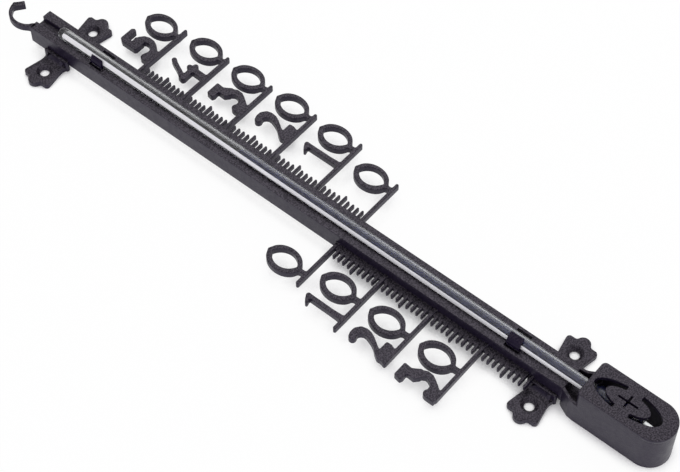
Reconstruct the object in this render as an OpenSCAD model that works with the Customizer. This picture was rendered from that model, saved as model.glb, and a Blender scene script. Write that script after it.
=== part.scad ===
// Outdoor window thermometer: an open plastic frame whose scale is moulded as
// bare strokes and numbers, with a glass stem clipped along its groove, a
// vented housing round the bulb, four screw lugs and a hanging hook.
// X runs to the reader's right, Y towards the hook and Z out of the wall.
// The origin is the middle of the four screw holes, on the wall. Millimetres.

/* [Frame] */
// Distance between the screw holes along the frame
hole_dy = 210; // [190:5:230]
// Distance between the screw holes across the frame
hole_dx = 24; // [23:0.5:26]
// Diameter of each screw hole
hole_d = 3.4; // [3:0.1:3.8]
// Thickness of the screw lugs
lug_t = 2; // [1.6:0.1:2.6]
// Width of the grooved bar
bar_w = 10; // [9.6:0.2:10.8]
// Height of the grooved bar's top above the wall
bar_top = 9.4; // [9:0.1:10]
// Thickness of the bar's side walls
rim_t = 1; // [0.8:0.1:1.2]

/* [Hook] */
// Outer radius of the hanging hook
hook_r = 7.3; // [6.8:0.1:8]
// Width of the hook's strip, seen from the front
hook_w = 1.2; // [1:0.05:1.5]

/* [Scale] */
// Height of the middle of the scale above the wall
scale_z = 4.85; // [4.4:0.05:5.2]
// Thickness of the ten degree lines and of the numbers
line_t = 2.5; // [2:0.1:2.8]
// Width of the ten degree lines
line_w = 1.2; // [1:0.05:1.4]
// Length of the ten degree lines beyond the bar
line_l = 26.3; // [25:0.1:28]
// Width of the one degree ticks
tick_w = 0.8; // [0.6:0.05:1]
// Thickness of the one degree ticks
tick_t = 1.8; // [1.4:0.1:2]
// Length of the one degree ticks beyond the bar
tick_l = 5.2; // [4.8:0.1:5.8]
// Height of the numbers above the middle of their line
digit_h = 15.4; // [14.4:0.1:16]

/* [Housing] */
// Width of the bulb housing
house_w = 14.6; // [14.2:0.1:16]
// Length of the bulb housing
house_l = 30.45; // [29.5:0.05:33]
// Height of the cover's top above the middle of the stem
crown_h = 5.9; // [5.4:0.1:7.4]
// Thickness of the housing's walls
house_t = 1.2; // [0.9:0.1:1.4]
// Thickness of the vented cover
cover_t = 1.4; // [1:0.1:1.8]

/* [Glass] */
// Diameter of the glass stem
stem_d = 4.2; // [3.8:0.1:4.4]
// Diameter of the bulb
bulb_d = 6; // [5.4:0.1:6.4]
// Temperature that the liquid shows at rest
reading = 23.5; // [10:0.5:40]

/* [Hidden] */
$fn = 48;
degree = hole_dy / 105;
zero_y = -11.5 * degree;
top_temp = 50;
low_temp = -39;
bar_x = bar_w / 2;
bar_y0 = -hole_dy / 2 - 6.5;
bar_y1 = hole_dy / 2 + 13;
bar_z0 = 2.3;
floor_t = 1.2;
floor_top = 5.1;
end_t = 1.5;
plate_t = 1.2;
groove_z = bar_top - 1.9;
end_groove = 3;
rail_w = 2.3;
rail_t = tick_t - 0.2;
stem_r = stem_d / 2;
stem_z = bar_top + 0.9;
stem_top = bar_y1 - 9.3;
groove_x = sqrt(stem_r * stem_r - 0.81) + 0.06;
shelf_x = groove_x + 1;
bore_r = 0.46;
thread_r = 0.4;
clip_gap = 0.03;
clip_l = 5;
clip_wall = 1;
window_l = clip_l + 0.6;
clip_high_y = hole_dy / 2 - 17.5;
clip_low_y = -hole_dy / 2 + 14;
house_x = house_w / 2;
house_h = stem_z + crown_h;
house_y1 = bar_y0 - 5.9;
house_y0 = house_y1 - house_l;
vent_y = house_y1 - 13.6;
bulb_r = bulb_d / 2;
bulb_y1 = house_y1 - 4.1;
bulb_y0 = bulb_y1 - 13;
bulb_wall = 0.65;
fill_y1 = bulb_y1 - bulb_wall;
stem_y0 = bulb_y1 + sqrt(bulb_r * bulb_r - stem_r * stem_r) - 0.02;
tip_l = 8;
tip_y1 = zero_y + reading * degree;
plastic = [0.2, 0.19, 0.21];
clear = [0.82, 0.85, 0.88, 0.45];
blue = [0.12, 0.14, 0.4];

// Sub-part to draw, or all

// A block given by its two far corners.
module block(a, b) {
  translate(a)
    cube(b - a);
}

// A round bar along Y from y0 to y1, at the stem's height.
module rod(r, y0, y1) {
  translate([0, y1, stem_z])
    rotate([90, 0, 0])
      cylinder(r = r, h = y1 - y0);
}

// A ball on the stem's axis.
module ball(r, y) {
  translate([0, y, stem_z])
    sphere(r = r);
}

// An oval outline with its middle at the origin.
module oval(w, h) {
  polygon([for (i = [0:47]) [w / 2 * cos(i * 7.5), h / 2 * sin(i * 7.5)]]);
}

module channel_bar() {
  inner = bar_x - rim_t;
  color(plastic)
    difference() {
      block([-bar_x, bar_y0, bar_z0], [bar_x, bar_y1, bar_top]);
      // groove that the stem lies in, narrower beyond the stem's end
      block([-groove_x, bar_y0 - 1, groove_z], [groove_x, stem_top + 1, bar_top + 1]);
      block([-end_groove / 2, stem_top, groove_z], [end_groove / 2, bar_y1 + 1, bar_top + 1]);
      // hollow underside, higher on both sides of the groove
      block([-inner, bar_y0 + rim_t, bar_z0 - 1], [inner, bar_y1 - end_t, groove_z - plate_t]);
      block([-inner, bar_y0 + rim_t, bar_z0 - 1], [-shelf_x, bar_y1 - end_t, bar_top - plate_t]);
      block([shelf_x, bar_y0 + rim_t, bar_z0 - 1], [inner, bar_y1 - end_t, bar_top - plate_t]);
      for (y = [clip_high_y, clip_low_y]) {
        // window for each clip's finger, and a notch on the stem's other side
        block([-inner, y - window_l / 2, groove_z], [-groove_x + 0.1, y + window_l / 2, bar_top + 1]);
        block([groove_x - 0.1, y - window_l / 2, groove_z], [shelf_x, y + window_l / 2, bar_top + 1]);
      }
    }
}

// Flat outline of the hanging hook, open to the right below its lip.
module hook_outline() {
  mid = [0.25, bar_y1 + 0.75 * hook_r];
  tip = mid + [hook_r * 0.315, hook_r * 0.65];
  apex = mid + [hook_r * cos(97), hook_r * sin(97)];
  along = (tip - apex) / norm(tip - apex);
  inward = [along[1], -along[0]];
  intersection() {
    difference() {
      translate(mid)
        circle(r = hook_r);
      translate(mid)
        circle(r = hook_r - hook_w);
      translate(mid)
        polygon([[0, 0], 3 * hook_r * [cos(97), sin(97)], [20, 20], [20, -20], [0, -20]]);
    }
    translate([-20, bar_y1])
      square([40, 40]);
  }
  polygon([apex - 0.3 * along, apex - 0.3 * along + 1.8 * inward, tip + 1.8 * inward, tip]);
}

module hanging_hook() {
  color(plastic)
    translate([0, 0, bar_top - 2.4])
      linear_extrude(2.4)
        hook_outline();
}

// Flat outline of a lug for the right side, with its hole at the origin.
module lug_outline() {
  root = bar_x - hole_dx / 2;
  polygon([
    [root, -5.3], [-4.5, -4.4], [-2.7, -4.5], [3.2, -5.7], [3.9, -5.7], [4.6, -5],
    [4.65, -3.2], [4.3, -2], [4.3, 2], [4.65, 3.2],
    [4.6, 5], [3.9, 5.7], [3.2, 5.7], [-2.7, 4.5], [-4.5, 4.4], [root, 5.3]
  ]);
  translate([4.5, 0])
    circle(r = 2.45);
}

// A screw lug; its thick root lies flat against the bar's side.
module lug(side, y) {
  root = bar_x - hole_dx / 2;
  color(plastic)
    translate([side * hole_dx / 2, y, 0])
      mirror([side < 0 ? 1 : 0, 0, 0])
        difference() {
          union() {
            linear_extrude(lug_t)
              lug_outline();
            block([root, -4.4, 0], [root + 2.6, 4.4, lug_t + 0.7]);
            block([root, -5.5, 0], [root + 1.4, 5.5, lug_t + 2.5]);
          }
          translate([0, 0, -1])
            cylinder(d = hole_d, h = lug_t + 2);
          translate([0, 0, lug_t - 1.1])
            cylinder(d1 = hole_d, d2 = hole_d + 2.4, h = 1.2);
        }
}

module lug_upper_left() { lug(-1, hole_dy / 2); }
module lug_upper_right() { lug(1, hole_dy / 2); }
module lug_lower_left() { lug(-1, -hole_dy / 2); }
module lug_lower_right() { lug(1, -hole_dy / 2); }

// One tick, drawn to the right from the bar's side at height y.
module tick(y, length) {
  tip = bar_x + length - tick_w / 2;
  translate([0, y - tick_w / 2, 0])
    cube([tip - bar_x, tick_w, tick_t]);
  translate([tip - bar_x, y, 0])
    cylinder(d = tick_w, h = tick_t);
}

// A row of ticks on a root rail, from one temperature to another.
module comb(side, from, to) {
  color(plastic)
    mirror([side < 0 ? 1 : 0, 0, 0])
      translate([bar_x, zero_y, scale_z - tick_t / 2]) {
        translate([0, from * degree - tick_w / 2, 0])
          cube([rail_w, (to - from) * degree + tick_w, rail_t]);
        for (t = [from:to])
          if (t % 10 != 0)
            tick(t * degree, t % 5 == 0 ? tick_l + 1.2 : tick_l);
      }
}

module warm_tick_comb() { comb(1, 0, top_temp); }
module cold_tick_comb() { comb(-1, low_temp + 1, 0); }

// The numbers are drawn round x = 0, standing on a line whose middle is y = 0,
// and 15.4 tall before they are scaled to the height that is asked for.
module digit_0() {
  difference() {
    translate([0, 8.85])
      oval(9.9, 13.35);
    translate([0.3, 8.85])
      oval(6.8, 9);
  }
  translate([-0.75, 0])
    square([1.5, 3]);
}

// Part of a ring: its outer radius, its width and the angles it runs between.
module bow(r, w, from, to) {
  far = 3 * r;
  step = (to - from) / 3;
  intersection() {
    difference() {
      circle(r = r);
      circle(r = r - w);
    }
    polygon(concat([[0, 0]], [for (i = [0:3]) far * [cos(from + i * step), sin(from + i * step)]]));
  }
}

module digit_1() {
  polygon([
    [-0.85, 0.3], [0.8, 0.3], [1.05, 2.6], [0.85, 3.6], [0.85, 14.9], [0.1, 15.2], [-1.5, 14.6],
    [-2.9, 13.7], [-2.9, 12.6], [-0.85, 13.1]
  ]);
}

module digit_2() {
  translate([-0.3, 11.9])
    bow(3.3, 2, -12, 160);
  translate([-2.3, 13])
    circle(r = 1.15);
  polygon([
    [-3.4, 0.3], [2.2, 0.3], [3.2, 2.6], [3.2, 4.1], [0.7, 4.2], [0.7, 5.5], [2.6, 9], [3, 11.7],
    [1, 11.7], [0.9, 8.8], [-0.6, 5.2], [-3.2, 2.6]
  ]);
}

module digit_3() {
  translate([0.6, 6.9])
    bow(3.2, 1.85, -80, 75);
  translate([-2.6, 3.1])
    circle(r = 1.2);
  // flat top and the neck down to the bow
  polygon([
    [-3.9, 13.2], [-3.3, 12.4], [-0.7, 12.6], [-1, 9.3], [0.6, 8.1], [2.4, 9.2], [1.3, 12.3],
    [1.6, 14.3], [1.4, 15.1], [-3.4, 15.1], [-3.9, 14.5]
  ]);
  polygon([[-3.7, 0.3], [0, 0.3], [0.9, 2.4], [2.6, 4.3], [1.1, 5.7], [0.2, 3.9], [-3, 3.9], [-3.5, 2.5]]);
}

module digit_4() {
  polygon([
    [-3.5, 5.4], [0.8, 5.4], [0.8, 7], [-1.7, 7], [-0.8, 9.8], [0.3, 11.8], [1.8, 14.3], [1.4, 14.7],
    [-0.6, 14.2], [-0.8, 12.7], [-2.3, 9.2], [-3.9, 7.6], [-4.1, 6.3]
  ]);
  polygon([
    [0.5, 0.3], [2.4, 0.3], [2.6, 4.4], [3.6, 5.2], [4, 6.1], [2.8, 7.2], [2.6, 8.4], [0.9, 8.4],
    [0.4, 7.1], [0.5, 5]
  ]);
}

module digit_5() {
  translate([-0.3, 7.3])
    bow(4, 2.2, -40, 85);
  translate([-4, 3])
    circle(r = 1.15);
  // flat top, left side and the start of the bow
  polygon([
    [-3.6, 8.1], [-3.2, 7.5], [0.3, 7.5], [1.3, 8.4], [0.5, 11.1], [-1.6, 10.9], [-1.6, 13.3],
    [2.9, 13.4], [3.2, 14.4], [2.5, 15.2], [-2.7, 15.2], [-3.6, 13.8]
  ]);
  polygon([[-5, 0.3], [0.6, 0.3], [1.5, 2.3], [3.1, 4.7], [1.4, 6.3], [0.8, 3.8], [-4.3, 3.8], [-5.1, 2.9]]);
}

// A ten degree line with its numbers: tens is the first number, or -1 for none.
// at and zero_at are the middles of that number and of the nought, as shares of
// the longest line, and lift is how far the nought is moved up.
module mark(side, t, tens, at, zero_at, length, lift = 0) {
  tip = bar_x + length - line_w / 2;
  y = zero_y + t * degree;
  z = scale_z - line_t / 2;
  color(plastic)
    difference() {
      translate([0, y, z])
        linear_extrude(line_t) {
          translate([side > 0 ? bar_x : -tip, -line_w / 2])
            square([tip - bar_x, line_w]);
          translate([side * tip, 0])
            circle(d = line_w);
          translate([side * (bar_x + zero_at * line_l), lift])
            scale(digit_h / 15.4)
              digit_0();
          translate([side * (bar_x + at * line_l), 0])
            scale(digit_h / 15.4) {
              if (tens == 1) digit_1();
              if (tens == 2) digit_2();
              if (tens == 3) digit_3();
              if (tens == 4) digit_4();
              if (tens == 5) digit_5();
            }
        }
      // room for the root rail of the ticks
      block(
        [side > 0 ? 0 : -bar_x - rail_w, y - 20, scale_z - tick_t / 2],
        [side > 0 ? bar_x + rail_w : 0, y + 20, scale_z - tick_t / 2 + rail_t]
      );
    }
}

module mark_warm_50() { mark(1, 50, 5, 0.441, 0.844, line_l, -0.5); }
module mark_warm_40() { mark(1, 40, 4, 0.483, 0.907, line_l, -0.3); }
module mark_warm_30() { mark(1, 30, 3, 0.51, 0.905, line_l); }
module mark_warm_20() { mark(1, 20, 2, 0.532, 0.905, line_l); }
module mark_warm_10() { mark(1, 10, 1, 0.551, 0.869, line_l); }
module mark_warm_0() { mark(1, 0, -1, 0, 0.667, 0.79 * line_l); }
module mark_cold_0() { mark(-1, 0, -1, 0, 0.611, 0.79 * line_l, 0.3); }
module mark_cold_10() { mark(-1, -10, 1, 0.821, 0.498, line_l, 0.3); }
module mark_cold_20() { mark(-1, -20, 2, 0.859, 0.506, line_l, 0.3); }
module mark_cold_30() { mark(-1, -30, 3, 0.89, 0.508, line_l, 0.3); }

// A clip that stands on the groove's floor and hooks over the stem from the
// left; reach is how far the finger's tip comes past the stem's middle.
module clip(y, reach) {
  inside = stem_r + clip_gap;
  outside = inside + clip_wall;
  drop = stem_z - groove_z;
  color(plastic)
    translate([0, y + clip_l / 2, stem_z])
      rotate([90, 0, 0])
        linear_extrude(clip_l)
          difference() {
            union() {
              intersection() {
                circle(r = outside);
                translate([-outside - 1, -drop])
                  square([outside + 1 + reach, 4 * outside]);
              }
              translate([-inside - 0.6, -drop])
                square([inside + 0.6 + groove_x, drop / 2]);
            }
            circle(r = inside);
          }
}

module clip_upper() { clip(clip_high_y, -1.9); }
module clip_lower() { clip(clip_low_y, -0.95); }

// Outline of the neck, set in by inset at its sides and let out by over at its ends.
module neck_outline(inset, over) {
  wide = house_x - inset;
  slim = bar_x - inset;
  top = bar_y0 + over;
  low = house_y1 - over;
  bend = [[wide, low], [wide - 0.3, bar_y0 - 4], [wide - 1.4, bar_y0 - 1.7], [slim, bar_y0]];
  side = over > 0 ? concat(bend, [[slim, top]]) : bend;
  polygon(concat(side, [for (i = [len(side) - 1:-1:0]) [-side[i][0], side[i][1]]]));
}

module neck_shoulder() {
  color(plastic)
    difference() {
      linear_extrude(bar_top)
        neck_outline(0, 0);
      difference() {
        translate([0, 0, -1])
          linear_extrude(bar_top + 2)
            neck_outline(rim_t, 1);
        block([-20, house_y1 - 2, floor_top - floor_t], [20, bar_y0 + 2, floor_top]);
      }
    }
}

// Outline of the housing: a round far end and small round corners near the bar.
module house_outline(inset) {
  x = house_x - inset;
  corner = 1.6 - inset / 2;
  translate([0, house_y0 + house_x])
    circle(r = x);
  translate([-x, house_y0 + house_x])
    square([2 * x, house_l - house_x - inset - corner]);
  for (side = [-1, 1])
    translate([side * (x - corner), house_y1 - inset - corner])
      circle(r = corner);
  translate([-x + corner, house_y1 - inset - 2 * corner])
    square([2 * (x - corner), 2 * corner]);
}

module bulb_housing() {
  gate = bulb_r + 0.3;
  color(plastic)
    difference() {
      linear_extrude(house_h - cover_t)
        house_outline(0);
      translate([0, 0, -1])
        linear_extrude(house_h + 2)
          house_outline(house_t);
      // gate that the bulb goes in by
      block([-gate, house_y1 - house_t - 2, floor_top], [gate, house_y1 + 1, stem_z]);
      rod(gate, house_y1 - house_t - 2, house_y1 + 1);
    }
}

module vented_cover() {
  color(plastic)
    translate([0, 0, house_h - cover_t])
      linear_extrude(cover_t)
        difference() {
          house_outline(0);
          difference() {
            translate([0, vent_y])
              oval(9.2, 24);
            translate([0, vent_y])
              oval(6.4, 15.6);
            translate([-10, vent_y - 2.6])
              square([20, 5.2]);
          }
          translate([-0.35, vent_y - 3.6])
            square([0.7, 7.2]);
          translate([-2.55, vent_y - 0.35])
            square([5.1, 0.7]);
        }
}

module glass_stem() {
  color(clear)
    difference() {
      union() {
        rod(stem_r, stem_y0, stem_top - stem_r);
        ball(stem_r, stem_top - stem_r);
      }
      rod(bore_r, stem_y0 - 1, stem_top - 6);
    }
}

module glass_bulb() {
  hollow = bulb_r - bulb_wall;
  nib_y = bulb_y0 - bulb_r;
  color(clear)
    difference() {
      union() {
        rod(bulb_r, bulb_y0, bulb_y1);
        ball(bulb_r, bulb_y0);
        difference() {
          ball(bulb_r, bulb_y1);
          block([-5, stem_y0, 0], [5, stem_y0 + 5, house_h]);
        }
        rod(1.1, nib_y - 3, nib_y + 0.6);
        ball(1.1, nib_y - 3);
      }
      rod(hollow, bulb_y0, fill_y1);
      ball(hollow, bulb_y0);
      ball(hollow, fill_y1);
      rod(bore_r, fill_y1, stem_y0 + 1);
    }
}

module bulb_liquid() {
  hollow = bulb_r - bulb_wall - 0.03;
  color(blue) {
    rod(hollow, bulb_y0, fill_y1);
    ball(hollow, bulb_y0);
    ball(hollow, fill_y1);
    rod(thread_r, fill_y1, stem_y0);
  }
}

module liquid_thread() {
  color(blue)
    rod(thread_r, stem_y0, tip_y1 - tip_l);
}

module liquid_tip() {
  color(blue)
    rod(thread_r, tip_y1 - tip_l, tip_y1);
}

channel_bar();
hanging_hook();
lug_upper_left();
lug_upper_right();
lug_lower_left();
lug_lower_right();
warm_tick_comb();
cold_tick_comb();
mark_warm_50();
mark_warm_40();
mark_warm_30();
mark_warm_20();
mark_warm_10();
mark_warm_0();
mark_cold_0();
mark_cold_10();
mark_cold_20();
mark_cold_30();
clip_upper();
clip_lower();
neck_shoulder();
bulb_housing();
vented_cover();
glass_stem();
glass_bulb();
bulb_liquid();
liquid_thread();
liquid_tip();
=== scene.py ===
import bpy
import bmesh
import math
import numpy as np
from mathutils import Matrix, Vector
from mathutils.geometry import tessellate_polygon


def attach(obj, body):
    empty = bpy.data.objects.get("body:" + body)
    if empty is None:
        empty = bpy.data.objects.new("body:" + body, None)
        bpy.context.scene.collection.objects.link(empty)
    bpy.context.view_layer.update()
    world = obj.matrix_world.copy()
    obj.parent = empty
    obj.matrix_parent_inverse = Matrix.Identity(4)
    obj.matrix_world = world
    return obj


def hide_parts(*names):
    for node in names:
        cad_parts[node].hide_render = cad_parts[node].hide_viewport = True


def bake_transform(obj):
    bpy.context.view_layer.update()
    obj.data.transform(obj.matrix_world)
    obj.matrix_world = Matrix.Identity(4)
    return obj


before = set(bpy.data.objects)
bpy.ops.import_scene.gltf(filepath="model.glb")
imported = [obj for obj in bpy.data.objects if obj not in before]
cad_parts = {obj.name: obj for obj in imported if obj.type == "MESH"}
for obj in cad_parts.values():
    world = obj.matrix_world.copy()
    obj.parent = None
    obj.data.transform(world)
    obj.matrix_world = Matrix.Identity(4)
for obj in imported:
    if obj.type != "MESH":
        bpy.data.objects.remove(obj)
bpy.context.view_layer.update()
print("frame loaded")

# Sizes in the dictionaries are millimetres in the frame's own axes:
# x to the reader's right, y towards the hook, z out of the wall.
mm = 0.001
workScene = bpy.context.scene

lay = {
    "zeroY": -23.0,       # line of 0 degrees
    "degree": 2.0,        # length of one degree
    "scaleZ": 4.85,       # middle of the raised scale
    "barX": 5.0,          # half the bar's width
    "barTop": 9.4,
    "barLow": -111.5,
    "barHigh": 118.0,
    "stemZ": 10.3,        # the stem's axis
    "stemHigh": 107.9,
    "houseHigh": -117.4,  # the housing's straight end
    "houseLow": -147.85,
}

tiny = 1e-9  # keeps a division from zero


# Flat shapes are distance fields: a function of x and y, negative inside.

def toEdge(x, y, a, b):
    # share of the way from a to b where the nearest point lies, and its distance
    ux, uy = b[0] - a[0], b[1] - a[1]
    t = np.clip(((x - a[0]) * ux + (y - a[1]) * uy) / (ux * ux + uy * uy), 0, 1)
    return t, np.hypot(x - a[0] - ux * t, y - a[1] - uy * t)


def strokeField(points):
    # a line through (x, y, half width) points
    def field(x, y):
        best = np.full_like(x, np.inf)
        for a, b in zip(points, points[1:]):
            t, dist = toEdge(x, y, a, b)
            best = np.minimum(best, dist - a[2] - (b[2] - a[2]) * t)
        return best
    return field


def polygonField(corners, rounding=0.0):
    pts = np.array(corners, float)

    def field(x, y):
        dist = np.full_like(x, np.inf)
        inside = np.zeros(x.shape, bool)
        for a, b in zip(pts, np.roll(pts, -1, axis=0)):
            dist = np.minimum(dist, toEdge(x, y, a, b)[1])
            if a[1] != b[1]:
                left = x < (b[0] - a[0]) * (y - a[1]) / (b[1] - a[1]) + a[0]
                inside ^= ((a[1] > y) != (b[1] > y)) & left
        return np.where(inside, -dist, dist) - rounding
    return field


def boxField(x0, y0, x1, y1, rounding=0.0):
    r = rounding
    return polygonField([(x0 + r, y0 + r), (x1 - r, y0 + r), (x1 - r, y1 - r), (x0 + r, y1 - r)], r)


def ovalField(cx, cy, halfX, halfY):
    def field(x, y):
        u, v = x - cx, y - cy
        k = np.hypot(u / halfX, v / halfY) + tiny
        return k * (k - 1) / (np.hypot(u / halfX ** 2, v / halfY ** 2) + tiny)
    return field


def lensField(cx, cy, halfX, halfY):
    # two arcs that meet in points above and below
    r = (halfX ** 2 + halfY ** 2) / (2 * halfX)
    return lambda x, y: np.hypot(np.abs(x - cx) + r - halfX, y - cy) - r


def shifted(field, dx, dy):
    return lambda x, y: field(x - dx, y - dy)


def grown(field, by):
    return lambda x, y: field(x, y) - by


def joined(fields, soft=0.0):
    # union; soft fills the inner corners with small fillets
    def field(x, y):
        total = fields[0](x, y)
        for other in fields[1:]:
            d = other(x, y)
            if soft > 0:
                h = np.clip(0.5 + 0.5 * (total - d) / soft, 0, 1)
                total = total * (1 - h) + d * h - soft * h * (1 - h)
            else:
                total = np.minimum(total, d)
        return total
    return field


def cutBy(body, cutters, soft=0.0):
    def field(x, y):
        d = body(x, y)
        for cutter in cutters:
            c = -cutter(x, y)
            if soft > 0:
                h = np.clip(0.5 - 0.5 * (d - c) / soft, 0, 1)
                d = d * (1 - h) + c * h + soft * h * (1 - h)
            else:
                d = np.maximum(d, c)
        return d
    return field


def slope(field, pts, eps=0.01, level=1e-12):
    # which way the field rises at each point, and how fast
    x, y = pts[:, 0], pts[:, 1]
    gx = field(x + eps, y) - field(x - eps, y)
    gy = field(x, y + eps) - field(x, y - eps)
    size = np.hypot(gx, gy) + level
    return np.stack([gx / size, gy / size], axis=1), size / (2 * eps)


def gridLoops(field, box, step, speck=8):
    # rough outlines, where the field changes sign between the points of a grid
    x0, y0, x1, y1 = box
    xs = np.arange(x0, x1 + step, step)
    ys = np.arange(y0, y1 + step, step)
    gx, gy = np.meshgrid(xs, ys, indexing="ij")
    d = field(gx, gy)
    d[d == 0] = tiny
    inside = d < 0
    corners = inside[:-1, :-1].astype(int) + inside[1:, :-1] + inside[1:, 1:] + inside[:-1, 1:]
    follow = {}
    for i, j in zip(*np.nonzero((corners > 0) & (corners < 4))):
        ring = [(i, j), (i + 1, j), (i + 1, j + 1), (i, j + 1)]
        outs, ins = [], []
        for a, b in zip(ring, ring[1:] + ring[:1]):
            if inside[a] != inside[b]:
                (outs if inside[a] else ins).append((min(a, b), max(a, b)))
        for a, b in zip(outs, ins if len(ins) == 1 else ins[::-1]):
            follow[a] = b
    while follow:
        start, here = next(iter(follow.items()))
        del follow[start]
        keys = [start]
        while here != start:
            keys.append(here)
            here = follow.pop(here)
        if len(keys) < speck:
            continue
        pts = []
        for a, b in keys:
            t = d[a] / (d[a] - d[b])
            pts.append((xs[a[0]] + (xs[b[0]] - xs[a[0]]) * t, ys[a[1]] + (ys[b[1]] - ys[a[1]]) * t))
        yield np.array(pts)


def evened(field, pts, gap, fewest=12, passes=2, leastSlope=0.3):
    # even spacing, then back onto the outline
    closed = np.vstack([pts, pts[:1]])
    run = np.concatenate([[0], np.cumsum(np.hypot(*np.diff(closed, axis=0).T))])
    count = max(fewest, int(run[-1] / gap))
    at = np.linspace(0, run[-1], count, endpoint=False)
    pts = np.stack([np.interp(at, run, closed[:, 0]), np.interp(at, run, closed[:, 1])], axis=1)
    for _ in range(passes):
        normal, rise = slope(field, pts)
        away = field(pts[:, 0], pts[:, 1]) / np.maximum(rise, leastSlope)
        pts = pts - normal * away[:, None]
    return pts


def thinned(pts, loose=0.004, longest=6.0):
    # leaves out the points that a straight edge can do without
    kept = [0]
    for n in range(1, len(pts)):
        a, b = pts[kept[-1]], pts[(n + 1) % len(pts)]
        chord = np.hypot(*(b - a))
        u = (b - a) / (chord + tiny)
        off = np.abs((pts[kept[-1] + 1:n + 1] - a) @ np.array([-u[1], u[0]]))
        if off.max() > loose or chord > longest:
            kept.append(n)
    return pts[kept]


def area(loop):
    # negative for a hole
    x, y = loop[:, 0], loop[:, 1]
    return 0.5 * float(np.sum(x * np.roll(y, -1) - y * np.roll(x, -1)))


def flat(u, v, w):
    return (u, v, w)


def upright(u, v, w):
    # outline in x and z, thickness along y
    return (u, w, v)


def outward(bm, faces):
    # turns one closed solid's faces outwards
    bmesh.ops.recalc_face_normals(bm, faces=faces)
    volume = 0.0
    for face in faces:
        a = face.verts[0].co
        for b, c in zip(face.verts[1:-1], face.verts[2:]):
            volume += a.dot(b.co.cross(c.co))
    if volume < 0:
        bmesh.ops.reverse_faces(bm, faces=faces)


def weld(bm, within=2e-7):
    bmesh.ops.remove_doubles(bm, verts=bm.verts, dist=within)


def ringOf(bm, points):
    return [bm.verts.new([c * mm for c in p]) for p in points]


def bands(bm, rows):
    # the faces between each ring of corners and the next
    faces = []
    for a, b in zip(rows, rows[1:]):
        for i in range(len(a)):
            j = (i + 1) % len(a)
            faces.append(bm.faces.new((a[i], a[j], b[j], b[i])))
    return faces


def addLoft(bm, rings):
    # one closed solid through rings of points
    rows = [ringOf(bm, ring) for ring in rings]
    outward(bm, bands(bm, rows) + [bm.faces.new(rows[0]), bm.faces.new(rows[-1])])


def addSolid(bm, walls):
    # each wall is a list of rings from the low cap to the high cap
    low, high, faces = [], [], []
    for rings in walls:
        rows = [ringOf(bm, ring) for ring in rings]
        faces += bands(bm, rows)
        low.append(rows[0])
        high.append(rows[-1])
    for cap in (low, high):
        verts = [v for row in cap for v in row]
        # in millimetres
        for tri in tessellate_polygon([[v.co * 1000 for v in row] for row in cap]):
            try:
                faces.append(bm.faces.new([verts[i] for i in tri]))
            except ValueError:
                pass  # that face is there already
    outward(bm, faces)


def addPlate(bm, field, box, low=0.0, high=0.0, rimLow=0.0, rimHigh=0.0, rimHole=None, place=flat,
             step=0.12, gap=0.3, wells=(), steps=None, bend=0.29, wellTurns=40):
    # a moulded plate from low to high with rounded rims, traced within the box;
    # step is the grid's, gap the space between points. Wells are round holes given
    # as (x, y, [(radius, height), ...]) from the low face to the high one, and
    # steps gives the sides' own (inset, height) rings instead of the rims
    walls = []
    for rough in gridLoops(field, box, step):
        loop = thinned(evened(field, rough, gap))
        normal, _ = slope(field, loop)
        hole = area(loop) < 0
        top = rimHole if hole and rimHole is not None else rimHigh
        bottom = min(rimLow, top) if hole else rimLow
        rings = [(0, low + bottom), (0, high - top)]
        if bottom > 0:
            rings = [(bottom, low), (bend * bottom, low + bend * bottom)] + rings
        if top > 0:
            rings += [(bend * top, high - bend * top), (top, high)]
        sides = steps or rings
        walls.append([[place(*(p - n * inset), w) for p, n in zip(loop, normal)] for inset, w in sides])
    turn = [2 * math.pi * i / wellTurns for i in range(wellTurns)]
    for cx, cy, profile in wells:
        walls.append([[place(cx + r * math.cos(t), cy - r * math.sin(t), w) for t in turn]
                      for r, w in profile])
    addSolid(bm, walls)


def addLathe(bm, profile, turns=48):
    # profile of (radius, y) turned about the stem's axis; ends with radius 0 close it
    turn = [2 * math.pi * i / turns for i in range(turns)]
    rows, faces = [], []
    for r, y in profile:
        ring = [(r * math.cos(t), y, lay["stemZ"] + r * math.sin(t)) for t in turn]
        rows.append(ringOf(bm, ring if r else [(0, y, lay["stemZ"])]))
    for a, b in zip(rows, rows[1:]):
        for i in range(turns):
            j = (i + 1) % turns
            if len(a) == 1:
                corners = (a[0], b[j], b[i])
            elif len(b) == 1:
                corners = (a[i], a[j], b[0])
            else:
                corners = (a[i], a[j], b[j], b[i])
            faces.append(bm.faces.new(corners))
    return faces


def asMesh(bm, name):
    mesh = bpy.data.meshes.new(name)
    bm.to_mesh(mesh)
    bm.free()
    return mesh


def placed(name, data):
    thing = bpy.data.objects.new(name, data)
    workScene.collection.objects.link(thing)
    return thing


def worked(holder):
    # the holder's mesh with its modifiers worked in
    evaluated = holder.evaluated_get(bpy.context.evaluated_depsgraph_get())
    mesh = bpy.data.meshes.new_from_object(evaluated)
    bpy.data.objects.remove(holder, do_unlink=True)
    return mesh


def finished(bm, name, material, body="frame", stands=(), sharp=32):
    weld(bm)
    mesh = asMesh(bm, name)
    mesh.materials.clear()  # puts all faces on the first slot
    mesh.materials.append(material)
    mesh.polygons.foreach_set("use_smooth", [True] * len(mesh.polygons))
    mesh.set_sharp_from_angle(angle=math.radians(sharp))
    # the big flat faces stay flat next to their rounded rims
    holder = placed("holder", mesh)
    even = holder.modifiers.new("even", "WEIGHTED_NORMAL")
    even.keep_sharp = True
    shaded = worked(holder)
    bpy.data.meshes.remove(mesh)
    shaded.name = name
    piece = placed(name, shaded)
    if body:
        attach(piece, body)
    if stands:
        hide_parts(*stands)
    return piece


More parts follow.
